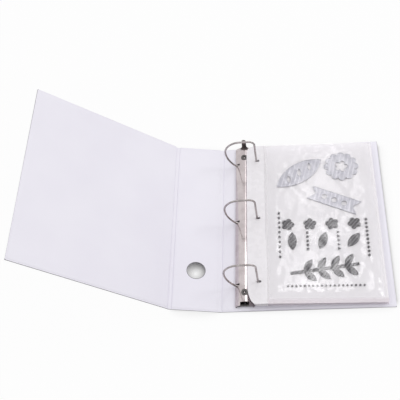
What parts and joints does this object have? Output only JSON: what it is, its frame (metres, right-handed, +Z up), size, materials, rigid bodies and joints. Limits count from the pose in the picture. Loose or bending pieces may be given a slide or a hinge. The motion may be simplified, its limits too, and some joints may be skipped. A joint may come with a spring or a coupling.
{
  "type": "storage binder",
  "caption": "Open ring binder with hinged vinyl-covered boards, a lever-opened D-ring mechanism and clear storage pockets on the rings.",
  "frame": {"origin": "centre of the back cover's underside, on the table", "axes": "+X from the hinge towards the back cover's outer edge, +Y towards the covers' top edge, +Z up from the table"},
  "size_m": [0.5104, 0.2931, 0.1799],
  "materials": {
    "vinyl": "satin",
    "board": "matte",
    "nickel": "polished",
    "dark_steel": "satin",
    "clear_film": "gloss",
    "stamp_rubber": "matte",
    "die_steel": "satin"
  },
  "bodies": {
    "back_cover": {"back_board": "board", "back_outer_skin": "vinyl", "back_inner_skin": "vinyl", "back_hinge_strip": "vinyl", "ring_plate": "nickel", "lever_pin": "nickel", "rivets": "nickel"},
    "spine": {"spine_board": "board", "spine_outer_skin": "vinyl", "spine_inner_skin": "vinyl", "front_hinge_strip": "vinyl"},
    "front_cover": {"front_board": "board", "front_outer_skin": "vinyl", "front_inner_skin": "vinyl"},
    "left_ring_leaf": {"left_leaf": "dark_steel", "upper_left_ring": "nickel", "middle_left_ring": "nickel", "lower_left_ring": "nickel"},
    "right_ring_leaf": {"right_leaf": "dark_steel", "upper_right_ring": "nickel", "middle_right_ring": "nickel", "lower_right_ring": "nickel"},
    "lever": {"opening_lever": "dark_steel"},
    "pocket_1_binding": {"pocket_1_strip": "clear_film"},
    "pocket_1_sleeve": {"pocket_1_back_film": "clear_film", "pocket_1_front_film": "clear_film", "pocket_1_seam": "clear_film", "carrier_sheet": "clear_film", "rubber_stamps": "stamp_rubber", "sprig_die": "die_steel", "scallop_die": "die_steel", "ribbon_die": "die_steel"},
    "pocket_2_binding": {"pocket_2_strip": "clear_film"},
    "pocket_2_sleeve": {"pocket_2_back_film": "clear_film", "pocket_2_front_film": "clear_film", "pocket_2_seam": "clear_film"},
    "pocket_3_binding": {"pocket_3_strip": "clear_film"},
    "pocket_3_sleeve": {"pocket_3_back_film": "clear_film", "pocket_3_front_film": "clear_film", "pocket_3_seam": "clear_film"},
    "pocket_4_binding": {"pocket_4_strip": "clear_film"},
    "pocket_4_sleeve": {"pocket_4_back_film": "clear_film", "pocket_4_front_film": "clear_film", "pocket_4_seam": "clear_film"},
    "pocket_5_binding": {"pocket_5_strip": "clear_film"},
    "pocket_5_sleeve": {"pocket_5_back_film": "clear_film", "pocket_5_front_film": "clear_film", "pocket_5_seam": "clear_film"}
  },
  "joints": [
    {"name": "spine_hinge", "type": "hinge", "parent": "back_cover", "child": "spine", "pos_m": [-0.12675, 0, 0.00035], "axis": [0, -1, 0], "range_deg": [-77.8, 12.2], "deforming": ["back_hinge_strip"]},
    {"name": "front_cover_hinge", "type": "hinge", "parent": "spine", "child": "front_cover", "pos_m": [-0.19957, 0, 0.01609], "axis": [0, -1, 0], "range_deg": [-61.2, 28.8], "deforming": ["front_hinge_strip"]},
    {"name": "ring_opening", "type": "hinge", "parent": "back_cover", "child": "left_ring_leaf", "pos_m": [-0.1033, 0, 0.005], "axis": [0, -1, 0], "range_deg": [0, 6.5]},
    {"name": "right_ring_opening", "type": "hinge", "parent": "back_cover", "child": "right_ring_leaf", "pos_m": [-0.0777, 0, 0.005], "axis": [0, 1, 0], "range_deg": [0, 6.5]},
    {"name": "lever_press", "type": "hinge", "parent": "back_cover", "child": "lever", "pos_m": [-0.0905, 0.1375, 0.0071], "axis": [-1, 0, 0], "range_deg": [0, 20]},
    {"name": "pocket_1_slide", "type": "slide", "parent": "back_cover", "child": "pocket_1_binding", "axis": [0, 0, 1], "range_m": [0, 0.012]},
    {"name": "pocket_1_lift", "type": "hinge", "parent": "pocket_1_binding", "child": "pocket_1_sleeve", "pos_m": [-0.0601, 0, 0.01827], "axis": [0, -1, 0], "range_deg": [0, 70]},
    {"name": "pocket_2_slide", "type": "slide", "parent": "back_cover", "child": "pocket_2_binding", "axis": [0, 0, 1], "range_m": [0, 0.0096]},
    {"name": "pocket_2_lift", "type": "hinge", "parent": "pocket_2_binding", "child": "pocket_2_sleeve", "pos_m": [-0.0601, 0, 0.01657], "axis": [0, -1, 0], "range_deg": [0, 56]},
    {"name": "pocket_3_slide", "type": "slide", "parent": "back_cover", "child": "pocket_3_binding", "axis": [0, 0, 1], "range_m": [0, 0.0072]},
    {"name": "pocket_3_lift", "type": "hinge", "parent": "pocket_3_binding", "child": "pocket_3_sleeve", "pos_m": [-0.0601, 0, 0.01487], "axis": [0, -1, 0], "range_deg": [0, 42]},
    {"name": "pocket_4_slide", "type": "slide", "parent": "back_cover", "child": "pocket_4_binding", "axis": [0, 0, 1], "range_m": [0, 0.0048]},
    {"name": "pocket_4_lift", "type": "hinge", "parent": "pocket_4_binding", "child": "pocket_4_sleeve", "pos_m": [-0.0601, 0, 0.01317], "axis": [0, -1, 0], "range_deg": [0, 28]},
    {"name": "pocket_5_slide", "type": "slide", "parent": "back_cover", "child": "pocket_5_binding", "axis": [0, 0, 1], "range_m": [0, 0.0024]},
    {"name": "pocket_5_lift", "type": "hinge", "parent": "pocket_5_binding", "child": "pocket_5_sleeve", "pos_m": [-0.0601, 0, 0.01147], "axis": [0, -1, 0], "range_deg": [0, 14]}
  ],
  "couplings": [
    {"joint": "right_ring_opening", "follows": "ring_opening", "ratio": 1},
    {"joint": "lever_press", "follows": "ring_opening", "ratio": 3.0769},
    {"joint": "pocket_2_slide", "follows": "pocket_1_slide", "ratio": 0.8},
    {"joint": "pocket_2_lift", "follows": "pocket_1_lift", "ratio": 0.8},
    {"joint": "pocket_3_slide", "follows": "pocket_1_slide", "ratio": 0.6},
    {"joint": "pocket_3_lift", "follows": "pocket_1_lift", "ratio": 0.6},
    {"joint": "pocket_4_slide", "follows": "pocket_1_slide", "ratio": 0.4},
    {"joint": "pocket_4_lift", "follows": "pocket_1_lift", "ratio": 0.4},
    {"joint": "pocket_5_slide", "follows": "pocket_1_slide", "ratio": 0.2},
    {"joint": "pocket_5_lift", "follows": "pocket_1_lift", "ratio": 0.2}
  ]
}
